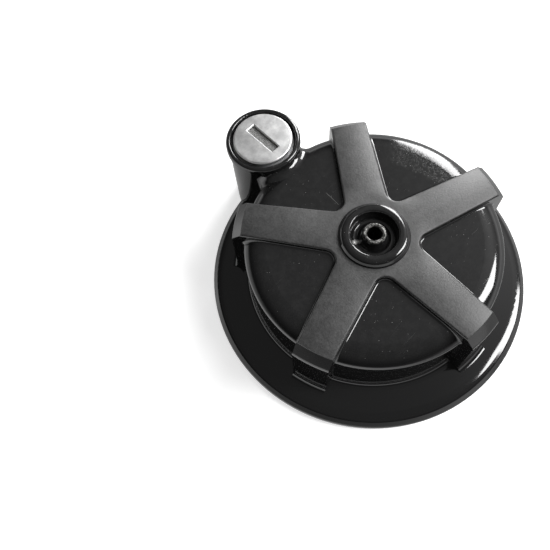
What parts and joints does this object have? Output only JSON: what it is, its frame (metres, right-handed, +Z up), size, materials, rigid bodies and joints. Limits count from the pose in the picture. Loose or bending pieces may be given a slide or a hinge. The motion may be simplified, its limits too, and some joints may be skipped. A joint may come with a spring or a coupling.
{
  "type": "fuel filler cap",
  "caption": "Black locking fuel filler cap: wide round flange, drum with a raised star grip, key lock in a side tube and a sprung bayonet beneath.",
  "frame": {"origin": "on the cap's axis in the sealing plane, where the neck's mouth meets the gasket", "axes": "+Z up through the grip, +Y towards the key lock; the cap stands on its flange at z = -16 mm"},
  "size_m": [0.12, 0.1287, 0.0374],
  "materials": {
    "black_moulding": "gloss black polyamide, fine matt texture on the arms",
    "rubber": "matt fuel-proof rubber",
    "plated_steel": "zinc plated",
    "spring_steel": "bright drawn wire",
    "stainless": "satin stainless sheet",
    "die_cast_zinc": "as-cast zinc alloy",
    "brass": "stamped brass"
  },
  "bodies": {
    "cap": {"cap_body": "black_moulding", "centre_rivet": "plated_steel", "vent_retainer": "black_moulding", "vent_spring": "spring_steel", "seal_plate": "plated_steel", "seal_plate_screws": "plated_steel", "gasket": "rubber", "spring_cup": "plated_steel", "main_spring": "spring_steel", "lock_housing": "die_cast_zinc", "housing_pin": "spring_steel", "bolt_cover": "black_moulding", "cover_screws": "plated_steel"},
    "key_cylinder": {"lock_rotor": "die_cast_zinc", "lock_face": "stainless", "rotor_seal": "rubber", "shutter_pin": "stainless", "shutter_spring": "spring_steel", "wafer_springs": "spring_steel", "lock_cam": "plated_steel", "cam_screw": "plated_steel"},
    "flap": {"shutter": "stainless"},
    "bolt": {"lock_bolt": "plated_steel"},
    "bayonet": {"bayonet_plate": "plated_steel"},
    "breather_ball": {"vent_ball": "plated_steel"},
    "wafer_1_body": {"wafer_1": "brass"},
    "wafer_2_body": {"wafer_2": "brass"},
    "wafer_3_body": {"wafer_3": "brass"},
    "wafer_4_body": {"wafer_4": "brass"},
    "wafer_5_body": {"wafer_5": "brass"}
  },
  "joints": [
    {"name": "lock_turn", "type": "hinge", "parent": "cap", "child": "key_cylinder", "pos_m": [0, 0.0549, 0], "axis": [0, 0, 1], "range_deg": [0, 90]},
    {"name": "bolt_draw", "type": "slide", "parent": "cap", "child": "bolt", "axis": [0, 1, 0], "range_m": [0, 0.00651]},
    {"name": "shutter_flap", "type": "hinge", "parent": "key_cylinder", "child": "flap", "pos_m": [0.00255, 0.0549, 0.01965], "axis": [0, -1, 0], "range_deg": [0, 80], "stiffness_Nm_per_rad": 0.001, "springref_deg": -22.92},
    {"name": "bayonet_pull", "type": "slide", "parent": "cap", "child": "bayonet", "axis": [0, 0, -1], "range_m": [0, 0.0035], "stiffness_N_per_m": 9000, "springref_m": -0.002, "deforming": ["main_spring"]},
    {"name": "vent_lift", "type": "slide", "parent": "cap", "child": "breather_ball", "axis": [0, 0, 1], "range_m": [0, 0.002], "stiffness_N_per_m": 25, "springref_m": -0.001, "deforming": ["vent_spring"]},
    {"name": "wafer_1_slide", "type": "slide", "parent": "key_cylinder", "child": "wafer_1_body", "axis": [0, 1, 0], "range_m": [0, 0.0008]},
    {"name": "wafer_2_slide", "type": "slide", "parent": "key_cylinder", "child": "wafer_2_body", "axis": [0, 1, 0], "range_m": [0, 0.0008]},
    {"name": "wafer_3_slide", "type": "slide", "parent": "key_cylinder", "child": "wafer_3_body", "axis": [0, 1, 0], "range_m": [0, 0.0008]},
    {"name": "wafer_4_slide", "type": "slide", "parent": "key_cylinder", "child": "wafer_4_body", "axis": [0, 1, 0], "range_m": [0, 0.0008]},
    {"name": "wafer_5_slide", "type": "slide", "parent": "key_cylinder", "child": "wafer_5_body", "axis": [0, 1, 0], "range_m": [0, 0.0008]}
  ],
  "couplings": [
    {"joint": "bolt_draw", "follows": "lock_turn", "m_per_rad": 0.0041415}
  ]
}
